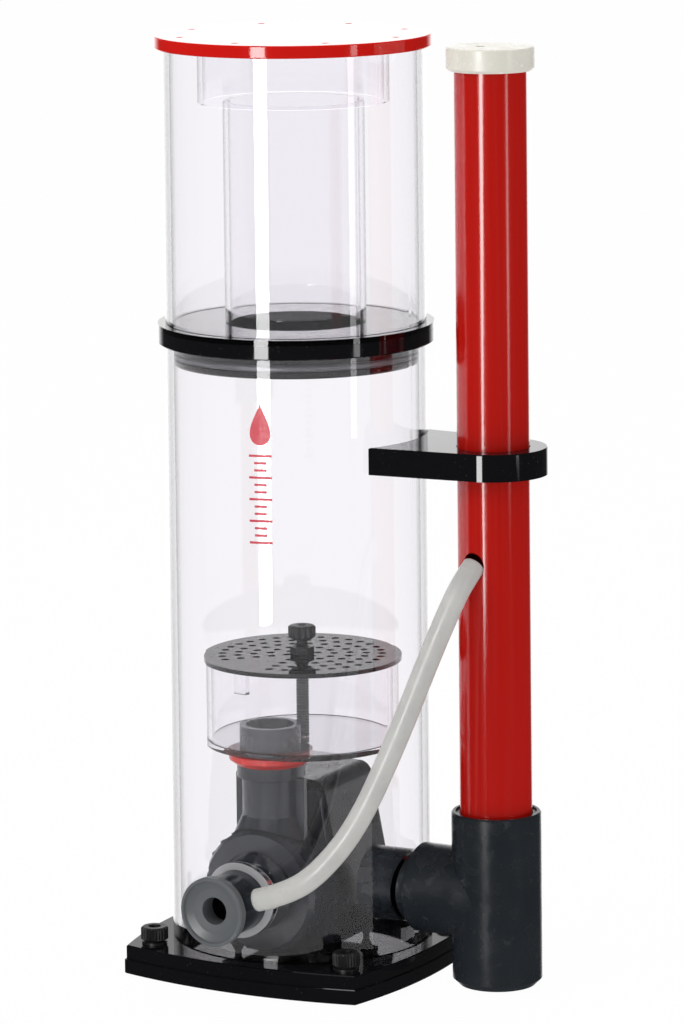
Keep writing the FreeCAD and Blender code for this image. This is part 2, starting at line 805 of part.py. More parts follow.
def diffuser():
    riser = rod("riser_way", "riser_radius + 0.2", "20", y="-tower_station",
                z="diffuser_floor_bottom - 5")
    low, high = "diffuser_floor_bottom", "diffuser_floor_top"
    shift = {"x": "diffuser_shift"}
    disc = rod("floor_disc", "diffuser_radius + 0.5", "%s - %s" % (high, low), z=low, **shift)
    rod_way = rod("floor_rod_way", "rod_radius + 0.1", "20", z=low + " - 5", **shift)
    keep(less("diffuser_floor_shell", disc, [riser, rod_way]), "diffuser_floor")
    pipe("diffuser_wall", "diffuser_radius", "diffuser_radius - diffuser_wall_thick", high,
         "diffuser_top", **shift)
    bubble_plate()
    plate_tab()
    keep(turned("plate_rod", [
        ("0", low + " - 3.5"),
        ("rod_radius", low + " - 3.5"),
        ("rod_radius", "knob_bottom"),
        ("0", "knob_bottom"),
    ], **shift), "plate_rod")
    keep(turned("plate_knob", [
        ("0", "knob_bottom"),
        ("knob_radius - 1.6", "knob_bottom"),
        ("knob_radius", "knob_bottom + 1.4"),
        ("knob_radius", "knob_top - 0.5"),
        ("knob_radius - 0.5", "knob_top"),
        ("0", "knob_top"),
    ], **shift), "plate_knob")
    plate_top = "diffuser_top + bubble_plate_thick"
    nuts = DOC.addObject("Part::Compound", "plate_nuts")
    nuts.Links = [hex_nut("upper_nut", plate_top), hex_nut("lower_nut", "diffuser_top - nut_thick")]
    keep(nuts, "plate_nuts")


def riser():
    """Outlet pipe from the pump's tower through the diffuser's floor, and its collar."""
    spot = {"y": "-tower_station"}
    pipe("riser_pipe", "riser_radius", "tower_bore", "riser_low", "riser_top", **spot)
    bore = "riser_radius + 0.1"
    keep(turned("riser_collar", [
        (bore, "rim_top"),
        ("rim_radius + 0.1", "rim_top"),
        ("collar_radius", "rim_top + 3"),
        ("collar_radius", "diffuser_floor_bottom"),
        (bore, "diffuser_floor_bottom"),
    ], **spot), "riser_collar")


# ---- Pump ------------------------------------------------------------------

def along_pump(name, corners):
    """A turned piece on the pump's axis; heights count towards the intake."""
    return turned(name, corners, z="pump_axis", turn="front")


def seal_groove(name, depth, front):
    """The flat ring that the volute's seal fills, from front back towards the motor."""
    middle = "(volute_cavity + volute_radius) / 2"
    return turned(name, [
        (middle + " - seal_width / 2", "%s - %s" % (front, depth)),
        (middle + " + seal_width / 2", "%s - %s" % (front, depth)),
        (middle + " + seal_width / 2", front),
        (middle + " - seal_width / 2", front),
    ], z="pump_axis", turn="front")


def pump_volute():
    """Pump chamber with its outlet tower, conical neck, gussets and rear face."""
    drum = rod("volute_drum", "volute_radius", "volute_front - volute_back",
               y="-volute_back", z="pump_axis", turn="front")
    tower = turned("volute_tower", [
        ("0", "pump_axis"),
        ("volute_radius - 5.6", "tower_low - 22"),
        ("tower_radius", "tower_low"),
        ("tower_radius", "rim_low - 1"),
        ("rim_radius", "rim_low"),
        ("rim_radius", "rim_top"),
        ("0", "rim_top"),
    ], y="-tower_station")
    gussets = block("volute_gusset", ("43", "3", "rim_low - pump_axis"),
                    ("-21.5", "-tower_station - 1.5", "pump_axis"))
    ring_room = along_pump("volute_ring_room", [
        ("volute_radius", "volute_front - 8.3"),
        ("volute_radius + 4.6", "volute_front - 8.3"),
        ("volute_radius + 4.6", "volute_front + 30"),
        ("0", "volute_front + 30"),
        ("0", "volute_front"),
        ("volute_radius", "volute_front"),
    ])
    motor_room = block("volute_motor_room", ("80", "30", "flange_top + 0.3"),
                       ("-40", "-volute_back", "0"))
    solid = joined("volute_solid", [drum, tower, gussets])
    tools = [
        ring_room,
        motor_room,
        rod("volute_room", "volute_cavity", "30", y="-volute_back - 3", z="pump_axis", turn="front"),
        rod("volute_rotor_way", "rotor_bore", "10", y="-volute_back + 2", z="pump_axis", turn="front"),
        rod("volute_throat", "throat_radius", "tower_low + 1 - pump_axis", y="-throat_station",
            z="pump_axis"),
        rod("volute_outlet", "tower_bore", "rim_top - tower_low", y="-tower_station", z="tower_low"),
        rod("volute_socket", "riser_radius + 0.1", "rim_top - riser_low", y="-tower_station",
            z="riser_low"),
        seal_groove("volute_seal_seat", "seal_depth", "volute_front"),
    ]
    keep(less("volute_shell", solid, tools), "pump_volute")
    keep(seal_groove("volute_seal", "seal_depth", "volute_front"), "volute_seal")


def volute_cover():
    """Front cover with a spigot and a three-armed spider for the front bushing."""
    front = "volute_front"
    cover = along_pump("cover_disc", [
        ("nozzle_bore", front + " - 2"),
        ("volute_cavity - 0.1", front + " - 2"),
        ("volute_cavity - 0.1", front),
        ("volute_radius", front),
        ("volute_radius", front + " + 4"),
        ("nozzle_bore", front + " + 4"),
    ])
    hub = along_pump("cover_hub", [
        ("3.2", front + " - 2"),
        ("5.6", front + " - 2"),
        ("5.6", front + " + 3"),
        ("3.2", front + " + 3"),
    ])
    arms = []
    for number in range(3):
        arm = block("cover_arm_%d" % number, ("10", "4", "2.4"), ("0", "0", "0"))
        turn = FreeCAD.Rotation(FreeCAD.Vector(0, 1, 0), 30 + 120 * number)
        local = FreeCAD.Vector(4.6, -value(front) - 2, -1.2)
        start = FreeCAD.Vector(0, 0, value("pump_axis")) + turn.multVec(local)
        arm.Placement = FreeCAD.Placement(start, turn)
        arms.append(arm)
    keep(joined("cover_solid", [cover, hub] + arms), "volute_cover")


def locking_ring():
    """Bayonet ring round the volute's mouth, with grip ribs."""
    front = "volute_front"
    body = along_pump("locking_ring", [
        ("volute_radius + 0.1", front + " - 8"),
        ("volute_radius + 2.6", front + " - 8"),
        ("volute_radius + 3.2", front + " + 3"),
        ("volute_radius + 1", front + " + 6.5"),
        ("nozzle_radius + 6", front + " + 6.5"),
        ("nozzle_radius + 6", front + " + 4"),
        ("volute_radius + 0.1", front + " + 4"),
    ])
    rib = sketch_on(body, "XY_Plane", front + " - 8")
    near, far = "volute_radius + 1.5", "volute_radius + 4.2"
    add_outline(rib, [(near, "-0.9"), (far, "-0.9"), (far, "0.9"), (near, "0.9")])
    around(body, [pad(body, rib, "10")], 24)
    keep(body, "locking_ring")


def intake():
    front = "volute_front"
    base = along_pump("nozzle_solid", [
        ("nozzle_bore", front + " + 4"),
        ("nozzle_radius + 4", front + " + 4"),
        ("nozzle_radius + 4", front + " + 7"),
        ("nozzle_radius", front + " + 11"),
        ("nozzle_radius", "nozzle_tip"),
        ("nozzle_bore", "nozzle_tip"),
    ])
    way = rod("nozzle_barb_way", "barb_radius + 0.1", "20", y="-barb_station", z="pump_axis")
    way.Placement.Rotation = FreeCAD.Rotation(
        FreeCAD.Vector(0, 1, 0), 90 - value("barb_tilt"))
    keep(less("nozzle_shell", base, [way]), "intake_nozzle")
    tip = "intake_tip"
    keep(along_pump("intake_ring", [
        ("intake_hole", "nozzle_tip - 9"),
        ("nozzle_bore - 0.1", "nozzle_tip - 9"),
        ("nozzle_bore - 0.1", "nozzle_tip"),
        ("nozzle_radius", "nozzle_tip"),
        ("intake_radius", "nozzle_tip + 1"),
        ("intake_radius", tip + " - 0.7"),
        ("intake_radius - 0.7", tip),
        ("intake_radius - 1.8", tip),
        ("intake_radius - 2.5", tip + " - 1.6"),
        ("intake_hole + 5", tip + " - 3.4"),
        ("intake_hole", tip + " - 3.9"),
    ]), "intake_ring")


def housing_outline(sketch, half_low, low, half_wide, wide, half_top, top):
    """Upright trapezoid with its lower corners cut back."""
    right = [(half_low, low), (half_wide, wide), (half_top, top)]
    left = [("-" + half, height) for half, height in reversed(right)]
    add_outline(sketch, right + left)


def upright_edges(edge):
    """Edges that run along the pump's axis near the top of a housing."""
    box = edge.BoundBox
    runs_along = box.YLength > 4 and box.XLength < 0.01 and box.ZLength < 0.01
    return runs_along and box.ZMin > 90


def motor():
    """Potted motor block with cooling slots, and the flange plate in front of it."""
    back = new_body("motor_housing")
    outline = sketch_on(back, "XZ_Plane", "volute_back - front_plate_thick")
    housing_outline(outline, "24", "motor_low", "36", "36", "21.5", "107")
    length = "motor_back + volute_back - front_plate_thick"
    slab = pad(back, outline, length, backwards=True)
    crown = dress(back, "Fillet", slab, "8", upright_edges)
    far = value("motor_back")

    def rear_edge(edge):
        return abs(edge.BoundBox.YMin - far) < 0.01 and abs(edge.BoundBox.YMax - far) < 0.01
    dress(back, "Fillet", crown, "5", rear_edge)
    bore = sketch_on(back, "XZ_Plane", "volute_back - front_plate_thick")
    add_circle(bore, "rotor_bore", "0", "pump_axis")
    pocket(back, bore, "48")
    slot = sketch_on(back, "YZ_Plane", "-40")
    add_outline(slot, [("-6", "motor_low - 1"), ("-4", "motor_low - 1"),
                       ("-4", "motor_low + 9"), ("-6", "motor_low + 9")])
    first = pocket(back, slot, "12", backwards=True)
    other = sketch_on(back, "YZ_Plane", "40")
    add_outline(other, [("-6", "motor_low - 1"), ("-4", "motor_low - 1"),
                        ("-4", "motor_low + 9"), ("-6", "motor_low + 9")])
    second = pocket(back, other, "12")
    row = back.newObject("PartDesign::LinearPattern", "motor_slots")
    axes = [item for item in back.Origin.OriginFeatures if item.Role == "Y_Axis"]
    row.Originals = [first, second]
    row.Direction = (axes[0], [""])
    row.Length = 40
    row.Occurrences = 11
    back.Tip = row
    keep(back, "motor_housing")

    front = new_body("motor_flange")
    outline = sketch_on(front, "XZ_Plane", "volute_back")
    housing_outline(outline, "30", "motor_low", "31", "40", "21", "flange_top")
    slab = pad(front, outline, "front_plate_thick", backwards=True)
    dress(front, "Fillet", slab, "7", upright_edges)
    bore = sketch_on(front, "XZ_Plane", "volute_back")
    add_circle(bore, "rotor_bore", "0", "pump_axis")
    pocket(front, bore, "front_plate_thick")
    keep(front, "motor_flange")


def pump_cradle():
    """Foot plate of the pump with two sloping lugs under the volute."""
    low = "foot_top"
    reach = "(volute_front - 8.1)"
    plate = block("cradle_plate", ("56", reach + " + 38", "motor_low - foot_top"),
                  ("-28", "-" + reach, low))
    lugs = []
    for side, name in ((1, "right"), (-1, "left")):
        lug = new_body("cradle_lug_" + name)
        sketch = sketch_on(lug, "XZ_Plane", "volute_front - 8")
        sign = "" if side > 0 else "-"
        add_outline(sketch, [(sign + "12", "motor_low - 1"), (sign + "28", "motor_low - 1"),
                             (sign + "22", "motor_low + 9"), (sign + "12", "motor_low + 9")])
        pad(lug, sketch, "12", backwards=True)
        lugs.append(lug)
    clear = rod("cradle_hollow", "volute_radius + 0.1", "60", y="10", z="pump_axis", turn="front")
    keep(less("cradle_shell", joined("cradle_solid", [plate] + lugs), [clear]), "pump_cradle")


def pump_feet():
    foot = turned("pump_foot", [
        ("0", "plate_thick"),
        ("2", "plate_thick"),
        ("1.7", "plate_thick + 1.2"),
        ("4.5", "foot_top"),
        ("0", "foot_top"),
    ], x="foot_aside", y="foot_along")
    four_corners("pump_feet", foot)


def rotor():
    """Needle wheel, magnet, fixed ceramic shaft and its two rubber bushings."""
    bore = "shaft_radius + 0.08"
    wheel = along_pump("needle_wheel", [
        (bore, "volute_back + 4"),
        ("6", "volute_back + 4"),
        ("6", "volute_back + 6"),
        ("wheel_radius", "volute_back + 6"),
        ("wheel_radius", "volute_back + 8"),
        ("5", "volute_back + 8"),
        ("4", "volute_front - 4"),
        (bore, "volute_front - 4"),
    ])
    for reach, count in ((9, 8), (14, 12), (19.5, 18)):
        sketch = sketch_on(wheel, "XY_Plane", "volute_back + 7.5")
        add_circle(sketch, "1.1", str(reach))
        around(wheel, [pad(wheel, sketch, "13.5")], count)
    keep(wheel, "needle_wheel")
    keep(along_pump("rotor_magnet", [
        (bore, "-28"),
        ("magnet_radius", "-28"),
        ("magnet_radius", "volute_back + 3.6"),
        (bore, "volute_back + 3.6"),
    ]), "rotor_magnet")
    keep(along_pump("rotor_shaft", [
        ("0", "-33.5"),
        ("shaft_radius", "-33.5"),
        ("shaft_radius", "volute_front + 3"),
        ("0", "volute_front + 3"),
    ]), "rotor_shaft")
    pipe("rear_bushing", "rotor_bore - 0.2", bore, "-33.8", "-29", z="pump_axis", turn="front")
    pipe("front_bushing", "3.1", bore, "volute_front - 2", "volute_front + 3",
         z="pump_axis", turn="front")


def cable_gland():
    keep(turned("cable_gland", [
        ("0", "-motor_back - 9"),
        ("3.6", "-motor_back - 9"),
        ("5.2", "-motor_back - 2"),
        ("6.4", "-motor_back - 2"),
        ("6.4", "-motor_back"),
        ("0", "-motor_back"),
    ], z="84", turn="front"), "cable_gland")


# ---- Build, check and export -----------------------------------------------

def faults():
    found = []
    for item in DOC.Objects:
        if "Invalid" in item.State or "Error" in item.State:
            found.append(item.Name + " " + str(item.State))
    for item in SUB_PARTS:
        if item.Shape.isNull() or not item.Shape.isValid():
            found.append(item.Label + " has no valid shape")
    return found


def build():
    for make in (base_plates, base_thumbscrews, body_tube, nozzle_grommet, collection_cup, lid,
                 pipe_bracket, outlet_tee, standpipe, standpipe_cap, air_hose, air_barb,
                 diffuser, riser, pump_volute, volute_cover, locking_ring, intake, motor,
                 pump_cradle, pump_feet, rotor, cable_gland):
        make()
    DOC.recompute()


def export():
    os.makedirs("parts", exist_ok=True)
    for item in SUB_PARTS:
        item.Shape.exportStep("parts/" + item.Label + ".step")
        print("%-18s %9.1f mm3, %d solids" % (item.Label, item.Shape.Volume,
                                              len(item.Shape.Solids)))


build()
problems = faults()
if problems:
    raise RuntimeError("; ".join(problems))
export()
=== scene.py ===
import math

import bmesh
import bpy
from mathutils import Matrix, Vector


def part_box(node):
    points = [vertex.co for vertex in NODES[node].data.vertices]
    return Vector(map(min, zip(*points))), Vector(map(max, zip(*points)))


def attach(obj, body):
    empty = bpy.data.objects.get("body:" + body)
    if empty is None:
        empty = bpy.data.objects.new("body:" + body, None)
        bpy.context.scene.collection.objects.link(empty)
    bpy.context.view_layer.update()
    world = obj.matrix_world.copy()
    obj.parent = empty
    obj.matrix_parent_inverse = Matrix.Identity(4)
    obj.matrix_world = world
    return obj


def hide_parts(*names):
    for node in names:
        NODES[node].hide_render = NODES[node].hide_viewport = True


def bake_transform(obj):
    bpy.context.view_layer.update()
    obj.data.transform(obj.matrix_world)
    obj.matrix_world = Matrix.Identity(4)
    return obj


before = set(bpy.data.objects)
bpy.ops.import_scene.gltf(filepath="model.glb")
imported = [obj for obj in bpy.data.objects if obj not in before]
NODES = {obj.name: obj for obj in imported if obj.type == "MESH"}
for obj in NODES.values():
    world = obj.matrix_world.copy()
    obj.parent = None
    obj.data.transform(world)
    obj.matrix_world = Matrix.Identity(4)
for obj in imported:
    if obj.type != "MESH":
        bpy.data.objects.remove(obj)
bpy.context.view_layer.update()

MM = 0.001

# ---------------------------------------------------------------- camera
# A fit to the photograph's circles and corners, made with a pitch of 5 degrees, puts the camera
# here. So small a pitch needs a large vertical shift. The other views keep that shift, and it
# cuts off the top of the part in them.
CAMERA_AZIMUTH = math.radians(29.23)
CAMERA_DISTANCE = 2.903
CAMERA_HEIGHT = 0.787
CAMERA_PITCH = math.radians(5)
CAMERA_ROLL = math.radians(-0.66)
CAMERA_LENS = 184.4
CAMERA_SHIFT = (0.0479, -0.4834)


def make_camera():
    """The camera at the photograph's place, on a long lens."""
    data = bpy.data.cameras.new("camera")
    data.lens = CAMERA_LENS
    data.sensor_width = 36
    data.shift_x, data.shift_y = CAMERA_SHIFT
    data.clip_start = 0.05
    data.clip_end = 50
    camera = bpy.data.objects.new("camera", data)
    bpy.context.scene.collection.objects.link(camera)
    turn = Matrix.Rotation(CAMERA_AZIMUTH, 4, "Z")
    tilt = Matrix.Rotation(math.radians(90) - CAMERA_PITCH, 4, "X")
    roll = Matrix.Rotation(CAMERA_ROLL, 4, "Z")
    along = CAMERA_DISTANCE * math.sin(CAMERA_AZIMUTH)
    back = -CAMERA_DISTANCE * math.cos(CAMERA_AZIMUTH)
    place = Matrix.Translation((along, back, CAMERA_HEIGHT))
    camera.matrix_world = place @ turn @ tilt @ roll
    bpy.context.scene.camera = camera


# ---------------------------------------------------------------- node helpers
class Shader:
    """One material's nodes: a Principled shader and what feeds it."""

    def __init__(self, name, colour, roughness, **sockets):
        self.material = bpy.data.materials.new(name)
        self.material.use_nodes = True
        self.tree = self.material.node_tree
        self.surface = self.tree.nodes["Principled BSDF"]
        self.output = self.tree.nodes["Material Output"]
        self.place = self.add("ShaderNodeTexCoord").outputs["Object"]
        self.surface.inputs["Base Color"].default_value = (*colour, 1)
        self.surface.inputs["Roughness"].default_value = roughness
        for socket, amount in sockets.items():
            self.surface.inputs[socket.replace("_", " ")].default_value = amount

    def add(self, kind, **settings):
        node = self.tree.nodes.new(kind)
        for setting, amount in settings.items():
            setattr(node, setting, amount)
        return node

    def link(self, source, target):
        self.tree.links.new(source, target)

    def stretched(self, scale):
        """Object coordinates scaled by three numbers."""
        mapping = self.add("ShaderNodeMapping")
        mapping.inputs["Scale"].default_value = scale
        self.link(self.place, mapping.inputs["Vector"])
        return mapping.outputs["Vector"]

    def noise(self, scale, detail=3, stretch=(1, 1, 1), distortion=0):
        node = self.add("ShaderNodeTexNoise")
        node.inputs["Scale"].default_value = scale
        node.inputs["Detail"].default_value = detail
        node.inputs["Distortion"].default_value = distortion
        self.link(self.stretched(stretch), node.inputs["Vector"])
        return node.outputs["Fac"]

    def levels(self, source, low, high, start=0, end=1):
        """source from low..high mapped to start..end, and held past the ends."""
        node = self.add("ShaderNodeMapRange")
        node.inputs["From Min"].default_value = low
        node.inputs["From Max"].default_value = high
        node.inputs["To Min"].default_value = start
        node.inputs["To Max"].default_value = end
        self.link(source, node.inputs["Value"])
        return node.outputs["Result"]

    def mix(self, share, first, second):
        """Two colours mixed by a share; each is a socket or three numbers."""
        node = self.add("ShaderNodeMix", data_type="RGBA")
        self.link(share, node.inputs[0])
        for index, colour in ((6, first), (7, second)):
            if isinstance(colour, tuple):
                node.inputs[index].default_value = (*colour, 1)
            else:
                self.link(colour, node.inputs[index])
        return node.outputs[2]

    def paint(self, source):
        self.link(source, self.surface.inputs["Base Color"])

    def rough(self, source):
        self.link(source, self.surface.inputs["Roughness"])

    def bump(self, source, strength, distance):
        node = self.add("ShaderNodeBump")
        node.inputs["Strength"].default_value = strength
        node.inputs["Distance"].default_value = distance
        self.link(source, node.inputs["Height"])
        previous = self.surface.inputs["Normal"]
        if previous.is_linked:
            self.link(previous.links[0].from_socket, node.inputs["Normal"])
        self.link(node.outputs["Normal"], self.surface.inputs["Normal"])

    def lets_lamps_through(self, colour):
        """Lamps shine through the clear material instead of casting a solid shadow."""
        clear = self.add("ShaderNodeBsdfTransparent")
        clear.inputs["Color"].default_value = (*colour, 1)
        path = self.add("ShaderNodeLightPath")
        mixed = self.add("ShaderNodeMixShader")
        self.link(path.outputs["Is Shadow Ray"], mixed.inputs["Fac"])
        self.link(self.surface.outputs["BSDF"], mixed.inputs[1])
        self.link(clear.outputs["BSDF"], mixed.inputs[2])
        self.link(mixed.outputs["Shader"], self.output.inputs["Surface"])


# ---------------------------------------------------------------- materials
def clear_acrylic():
    """Cast acrylic: clear, with painted shade where it is seen edge on, with a drawn tube's
    slow waves.
    """
    tint = (0.985, 0.976, 0.995)
    painted_edge_shade = (0.01, 0.01, 0.012)
    shader = Shader("clear_acrylic", tint, 0.0, IOR=1.49, Transmission_Weight=1.0)
    facing = shader.add("ShaderNodeLayerWeight")
    facing.inputs["Blend"].default_value = 0.5
    # Painted shade: the base colour turns near black where the tube is seen edge on, standing
    # in for the dark edge lines of the tube's walls.
    painted_rim_shade = shader.levels(facing.outputs["Facing"], low=0.72, high=0.93)
    shader.paint(shader.mix(painted_rim_shade, tint, painted_edge_shade))
    waves = shader.noise(scale=9, detail=2, stretch=(1, 1, 0.25))
    shader.bump(waves, strength=0.05, distance=0.0006)
    shader.lets_lamps_through((0.93, 0.93, 0.95))
    return shader.material


def black_acrylic():
    """Polished black acrylic with fine rub marks and a little dust."""
    black = (0.005, 0.005, 0.006)
    shader = Shader("black_acrylic", black, 0.05, IOR=1.49)
    dust = shader.levels(shader.noise(scale=900, detail=2), low=0.70, high=0.78)
    shader.paint(shader.mix(dust, black, (0.05, 0.05, 0.055)))
    rubs = shader.noise(scale=60, detail=6, stretch=(1, 9, 1), distortion=0.6)
    shader.rough(shader.levels(rubs, low=0.35, high=0.75, start=0.03, end=0.11))
    shader.bump(shader.noise(scale=14, detail=2), strength=0.04, distance=0.0005)
    return shader.material


def red_acrylic():
    """Polished red acrylic sheet, glowing a little through its cut edge."""
    shader = Shader("red_acrylic", (0.62, 0.008, 0.005), 0.07, IOR=1.49, Subsurface_Weight=0.15)
    shader.surface.inputs["Subsurface Radius"].default_value = (0.008, 0.002, 0.001)
    shader.surface.inputs["Subsurface Scale"].default_value = 0.5
    clouds = shader.noise(scale=5, detail=2)
    shader.paint(shader.mix(clouds, (0.60, 0.007, 0.004), (0.68, 0.012, 0.008)))
    rubs = shader.noise(scale=70, detail=5, stretch=(8, 1, 1), distortion=0.5)
    shader.rough(shader.levels(rubs, low=0.3, high=0.8, start=0.04, end=0.12))
    return shader.material


def red_pvc():
    """Extruded red pipe: gloss, with fine lines drawn along it."""
    shader = Shader("red_pvc", (0.58, 0.008, 0.004), 0.12, IOR=1.54)
    lines = shader.noise(scale=700, detail=3, stretch=(1, 1, 0.01))
    clouds = shader.noise(scale=16, detail=3, stretch=(1, 1, 0.3))
    shader.paint(shader.mix(clouds, (0.46, 0.005, 0.002), (0.53, 0.008, 0.004)))
    shader.rough(shader.levels(lines, low=0.3, high=0.75, start=0.09, end=0.2))
    shader.bump(lines, strength=0.06, distance=0.0002)
    waves = shader.noise(scale=40, detail=2, stretch=(1, 1, 0.15))
    shader.bump(waves, strength=0.05, distance=0.0006)
    return shader.material


def scale_paint():
    """Red screen print, slightly uneven in its ink."""
    shader = Shader("scale_paint", (0.60, 0.004, 0.03), 0.3, IOR=1.5)
    ink = shader.noise(scale=400, detail=4)
    shader.paint(shader.mix(ink, (0.56, 0.004, 0.028), (0.68, 0.008, 0.04)))
    sheen = shader.noise(scale=700, detail=3)
    shader.rough(shader.levels(sheen, low=0.3, high=0.7, start=0.25, end=0.4))
    shader.bump(shader.noise(scale=1200, detail=2), strength=0.1, distance=0.00005)
    return shader.material


def moulded(name, dark, light, roughness, grain, grain_depth):
    """Moulded plastic: two near tones, a fine grain and a few paler rubbed spots."""
    shader = Shader(name, dark, roughness, IOR=1.5)
    broad = shader.noise(scale=22, detail=4)
    spots = shader.noise(scale=140, detail=6, distortion=0.4)
    rubbed = shader.levels(spots, low=0.62, high=0.74)
    base = shader.mix(shader.levels(broad, low=0.3, high=0.7), dark, light)
    paler = tuple(min(1, 1.5 * share + 0.01) for share in light)
    shader.paint(shader.mix(rubbed, base, paler))
    sheen = shader.noise(scale=90, detail=4)
    shader.rough(shader.levels(sheen, low=0.3, high=0.7,
                               start=roughness - 0.06, end=roughness + 0.08))
    shader.bump(shader.noise(scale=grain, detail=2), strength=0.25, distance=grain_depth)
    return shader.material


def silicone(name, colour, roughness, glow):
    """Soft tube: satin, letting a little light in."""
    shader = Shader(name, colour, roughness, IOR=1.43, Subsurface_Weight=glow)
    shader.surface.inputs["Subsurface Radius"].default_value = (0.006, 0.006, 0.005)
    shader.surface.inputs["Subsurface Scale"].default_value = 0.5
    darker = tuple(0.9 * share for share in colour)
    clouds = shader.levels(shader.noise(scale=70, detail=4), low=0.35, high=0.7)
    shader.paint(shader.mix(clouds, colour, darker))
    sheen = shader.noise(scale=120, detail=3)
    shader.rough(shader.levels(sheen, low=0.3, high=0.7,
                               start=roughness - 0.05, end=roughness + 0.1))
    shader.bump(shader.noise(scale=260, detail=2), strength=0.12, distance=0.0003)
    return shader.material


# name: dark tone, light tone, roughness, scale of the grain, depth of the grain in metres
MOULDED = {
    "grey_pvc": ((0.014, 0.018, 0.022), (0.019, 0.023, 0.028), 0.24, 1500, 0.0002),
    "grey_abs": ((0.016, 0.019, 0.024), (0.023, 0.027, 0.033), 0.2, 1800, 0.0002),
    "intake_grey": ((0.11, 0.118, 0.125), (0.14, 0.15, 0.158), 0.38, 1800, 0.0002),
    "motor_resin": ((0.004, 0.0045, 0.005), (0.007, 0.008, 0.009), 0.22, 1200, 0.0003),
    "black_rubber": ((0.008, 0.008, 0.008), (0.014, 0.014, 0.014), 0.6, 1600, 0.0002),
    "cream_plastic": ((0.78, 0.75, 0.66), (0.84, 0.82, 0.74), 0.3, 1500, 0.0001),
    "black_nylon": ((0.008, 0.008, 0.009), (0.014, 0.014, 0.015), 0.38, 1500, 0.0002),
    "red_abs": ((0.50, 0.012, 0.008), (0.58, 0.02, 0.012), 0.35, 1500, 0.0002),
    "white_ceramic": ((0.8, 0.8, 0.78), (0.86, 0.86, 0.84), 0.25, 1500, 0.0001),
    "magnet": ((0.03, 0.03, 0.032), (0.05, 0.05, 0.052), 0.4, 900, 0.0002),
}
# name: colour, roughness, weight of the light under the surface
SILICONES = {
    "white_silicone": ((0.60, 0.595, 0.575), 0.3, 0.15),
    "clear_silicone": ((0.5, 0.5, 0.52), 0.3, 0.3),
    "grey_silicone": ((0.14, 0.14, 0.15), 0.4, 0.1),
}


def make_materials():
    """Every material by the name of the record's slot that it finishes."""
    materials = {
        "black_acrylic": black_acrylic(),
        "clear_acrylic": clear_acrylic(),
        "red_acrylic": red_acrylic(),
        "red_pvc": red_pvc(),
    }
    for name, look in MOULDED.items():
        materials[name] = moulded(name, *look)
    for name, look in SILICONES.items():
        materials[name] = silicone(name, *look)
    return materials


def finish_nodes(materials):
    """Each CAD node shows the detailed material of its own slot."""
    for node in NODES.values():
        for slot in node.material_slots:
            name = slot.material.name.split(".")[0]
            if name in materials:
                slot.material = materials[name]


def finish_piece(piece, material):
    piece.data.materials.clear()
    piece.data.materials.append(material)


# ---------------------------------------------------------------- mesh helpers
def mesh_object(name, bm, smooth=True):
    """A new object from a bmesh, its normals outward."""
    bmesh.ops.recalc_face_normals(bm, faces=bm.faces)
    data = bpy.data.meshes.new(name)
    bm.to_mesh(data)
    bm.free()
    for polygon in data.polygons:
        polygon.use_smooth = smooth
    piece = bpy.data.objects.new(name, data)
    bpy.context.scene.collection.objects.link(piece)
    return piece


def angles_round(count):
    return [2 * math.pi * step / count for step in range(count)]


def skin(bm, rings):
    """Faces between one ring of vertices and the next, and a cap on each end."""
    for first, second in zip(rings, rings[1:]):
        for step in range(len(first)):
            after = (step + 1) % len(first)
            bm.faces.new((first[step], first[after], second[after], second[step]))
    bm.faces.new(rings[0])
    bm.faces.new(rings[-1])


def tube_along(name, path, radius, sides):
    """A closed round tube along a list of points, with frames that don't twist."""
    bm = bmesh.new()
    rings = []
    side = None
    for index, point in enumerate(path):
        ahead = path[min(index + 1, len(path) - 1)]
        behind = path[max(index - 1, 0)]
        forward = (ahead - behind).normalized()
        if side is None:
            side = forward.orthogonal().normalized()
        side = (side - forward * side.dot(forward)).normalized()
        up = forward.cross(side)
        rings.append([
            bm.verts.new(point + radius * (math.cos(angle) * side + math.sin(angle) * up))
            for angle in angles_round(sides)])
    skin(bm, rings)
    return mesh_object(name, bm)


PLAIN = False
RIPPLED = True


def lathed(name, profile, centre, sides, ripple=None):
    """A closed turned piece, in mm.

    The profile lists (radius, height, PLAIN or RIPPLED). ripple(angle) is added to the radius
    of the rippled rings.
    """
    bm = bmesh.new()
    rings = []
    for radius, height, rippled in profile:
        ring = []
        for angle in angles_round(sides):
            reach = radius + (ripple(angle) if rippled else 0)
            ring.append(bm.verts.new(((centre[0] + reach * math.cos(angle)) * MM,
                                      (centre[1] + reach * math.sin(angle)) * MM,
                                      height * MM)))
        rings.append(ring)
    skin(bm, rings)
    return mesh_object(name, bm, smooth=False)


# ---------------------------------------------------------------- the air hose
HOSE_ROUTE = (
    (0.02286, -0.0915, 0.05699),
    (0.0413, -0.0915, 0.06263),
    (0.0595, -0.088, 0.075),
    (0.0773, -0.0763, 0.1004),
    (0.0939, -0.0609, 0.1467),
    (0.1079, -0.0458, 0.1942),
    (0.1154, -0.0356, 0.2193),
    (0.1185, -0.0282, 0.2304),
    (0.12, -0.0188, 0.2371),
)
HOSE_RADIUS = 0.00625
HOSE_SIDES = 32


def nurbs_curve(name, points):
    """An open NURBS curve with these points as its control points."""
    data = bpy.data.curves.new(name, "CURVE")
    data.dimensions = "3D"
    data.resolution_u = 24
    spline = data.splines.new("NURBS")
    spline.points.add(len(points) - 1)
    for point, place in zip(spline.points, points):
        point.co = (*place, 1)
    spline.order_u = 3
    spline.use_endpoint_u = True
    curve = bpy.data.objects.new(name, data)
    bpy.context.scene.collection.objects.link(curve)
    return curve


def points_along(curve):
    """The curve's own points, close together."""
    line = bpy.data.meshes.new_from_object(curve)
    points = [vertex.co.copy() for vertex in line.vertices]
    bpy.data.meshes.remove(line)
    return points


